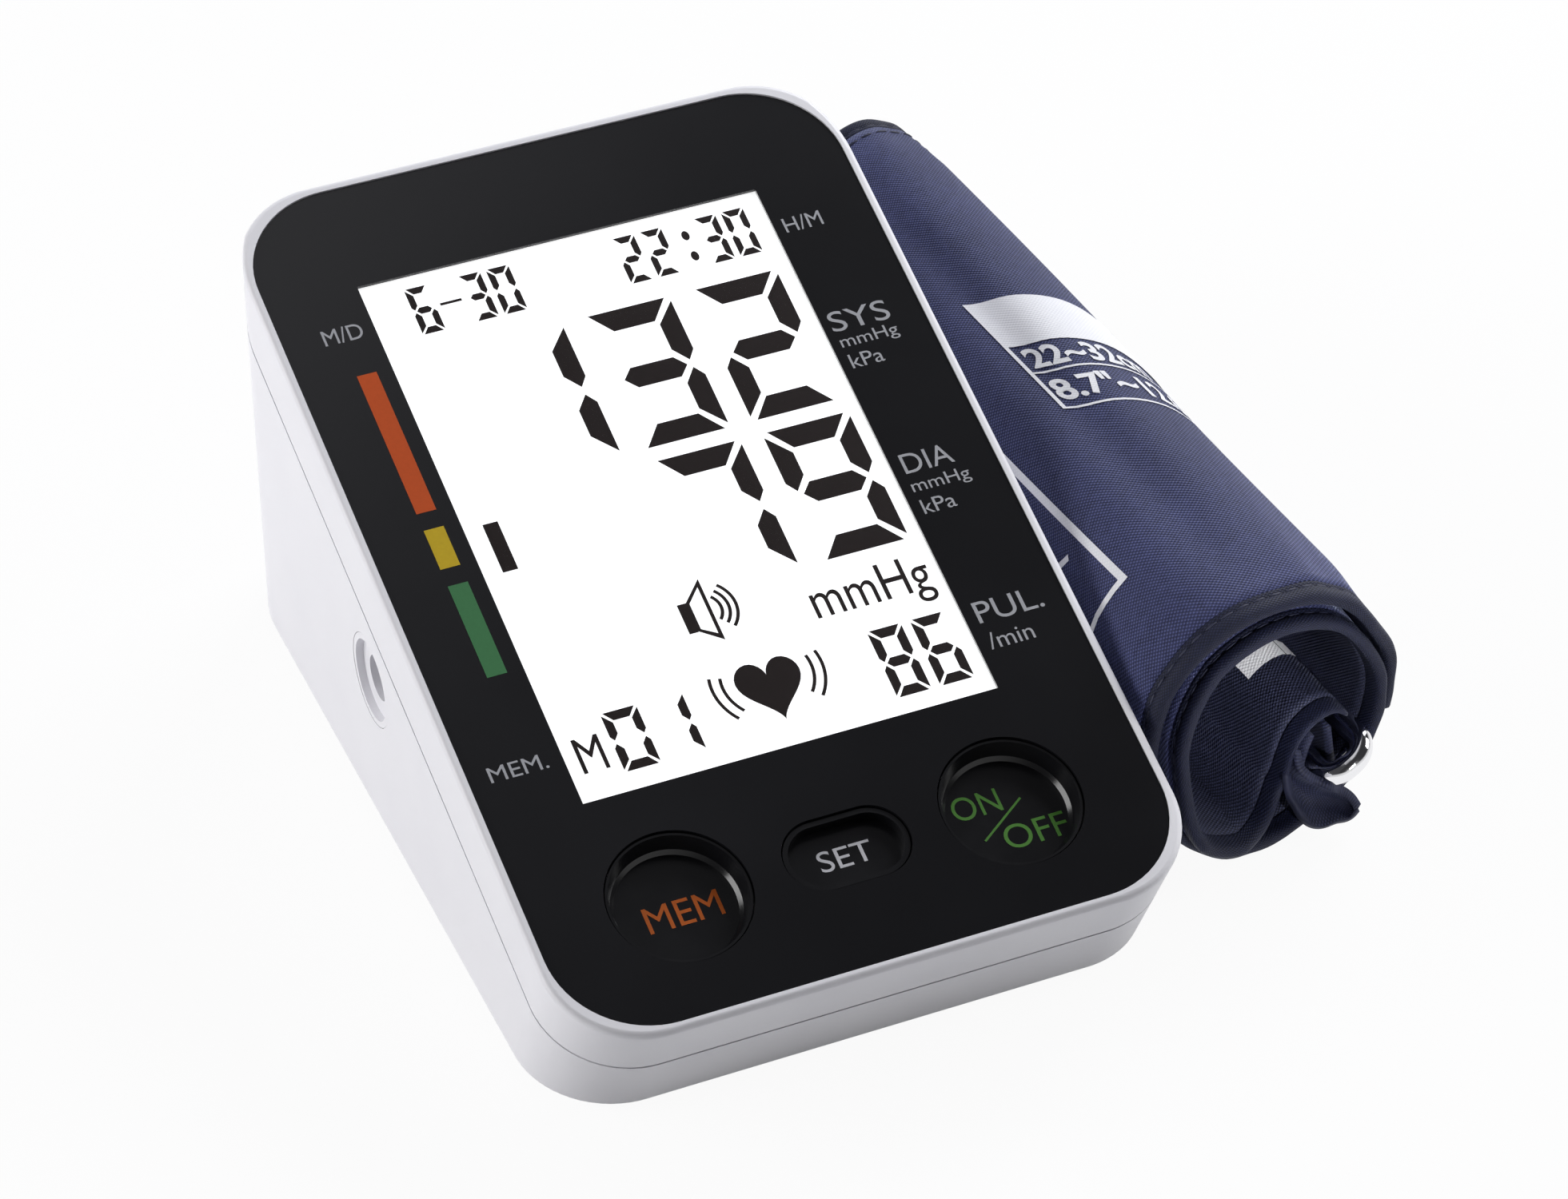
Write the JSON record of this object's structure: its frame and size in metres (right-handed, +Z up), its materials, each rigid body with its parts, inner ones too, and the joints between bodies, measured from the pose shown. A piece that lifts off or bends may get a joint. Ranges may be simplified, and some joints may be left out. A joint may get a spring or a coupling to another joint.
{
  "type": "upper-arm blood pressure monitor",
  "caption": "Desktop wedge blood pressure monitor with display window and three recessed buttons, beside its rolled upper-arm cuff with a metal ring.",
  "frame": {"origin": "on the table, under the middle of the box round monitor and cuff", "axes": "+Z up, +Y away from the user, +X to the user's right, the monitor's side walls run along Y"},
  "size_m": [0.1542, 0.1833, 0.0752],
  "materials": {
    "white_shell": "smooth satin white",
    "soft_feet": "matte dark grey",
    "screw_steel": "plated",
    "black_gloss": "polished black",
    "clear_window": "clear polished",
    "lcd": "flat pale grey with dark segments",
    "light_guide": "milky translucent",
    "frame_plastic": "moulded natural",
    "contact_metal": "nickel plated",
    "circuit_board": "green solder mask",
    "chip_black": "moulded black",
    "button_black": "polished black, printed legends",
    "motor_can": "plated can",
    "silicone": "translucent silicone",
    "cell_sleeve": "printed sleeve, left plain",
    "navy_cloth": "woven nylon, fine grain",
    "bladder_film": "smooth film",
    "hook_tape": "hook tape",
    "navy_binding": "folded and stitched edge",
    "ring_chrome": "polished",
    "port_plastic": "moulded dark"
  },
  "bodies": {
    "monitor": {"upper_case": "white_shell", "lower_case": "white_shell", "rubber_foot_1": "soft_feet", "rubber_foot_2": "soft_feet", "rubber_foot_3": "soft_feet", "rubber_foot_4": "soft_feet", "case_screws": "screw_steel", "front_panel": "black_gloss", "display_lens": "clear_window", "lcd_glass": "lcd", "backlight_guide": "light_guide", "lcd_frame": "frame_plastic", "lcd_pins": "contact_metal", "main_board": "circuit_board", "board_screws": "screw_steel", "board_chips": "chip_black", "memory_switch": "chip_black", "set_switch": "chip_black", "power_switch": "chip_black", "pump_motor": "motor_can", "pump_head": "frame_plastic", "pump_tube": "silicone", "air_manifold": "frame_plastic", "release_valve": "chip_black", "air_socket": "white_shell", "pressure_sensor": "chip_black", "sensor_tube": "silicone", "speaker": "chip_black", "power_socket": "chip_black", "contact_plate_left": "contact_metal", "contact_plate_right": "contact_metal", "battery_cell_1": "cell_sleeve", "battery_cell_2": "cell_sleeve", "battery_cell_3": "cell_sleeve", "battery_cell_4": "cell_sleeve", "contact_springs": "contact_metal"},
    "memory_button": {"memory_button": "button_black"},
    "set_button": {"set_button": "button_black"},
    "power_button": {"power_button": "button_black"},
    "battery_cover": {"battery_cover": "white_shell"},
    "ring": {"cuff_ring": "ring_chrome"},
    "cuff": {"cuff_outer_cloth": "navy_cloth", "cuff_bladder": "bladder_film", "cuff_lining": "navy_cloth", "hook_patch": "hook_tape", "edge_binding_front": "navy_binding", "edge_binding_back": "navy_binding", "ring_tab": "navy_cloth", "hose_port": "port_plastic"}
  },
  "joints": [
    {"name": "memory_button_press", "type": "slide", "parent": "monitor", "child": "memory_button", "axis": [0, 0.314, -0.9494], "range_m": [0, 0.0008], "stiffness_N_per_m": 900, "springref_m": -0.0004},
    {"name": "set_button_press", "type": "slide", "parent": "monitor", "child": "set_button", "axis": [0, 0.314, -0.9494], "range_m": [0, 0.0008], "stiffness_N_per_m": 900, "springref_m": -0.0004},
    {"name": "power_button_press", "type": "slide", "parent": "monitor", "child": "power_button", "axis": [0, 0.314, -0.9494], "range_m": [0, 0.0008], "stiffness_N_per_m": 900, "springref_m": -0.0004},
    {"name": "battery_cover_slide", "type": "slide", "parent": "monitor", "child": "battery_cover", "axis": [0, 1, 0], "range_m": [0, 0.07]},
    {"name": "cuff_set_aside", "type": "slide", "parent": "monitor", "child": "cuff", "axis": [1, 0, 0], "range_m": [0, 0.12]},
    {"name": "ring_hinge", "type": "hinge", "parent": "cuff", "child": "ring", "pos_m": [0.0511, 0.00949, 0.0106], "axis": [0.1132, -0.9936, 0], "range_deg": [0, 8]}
  ]
}
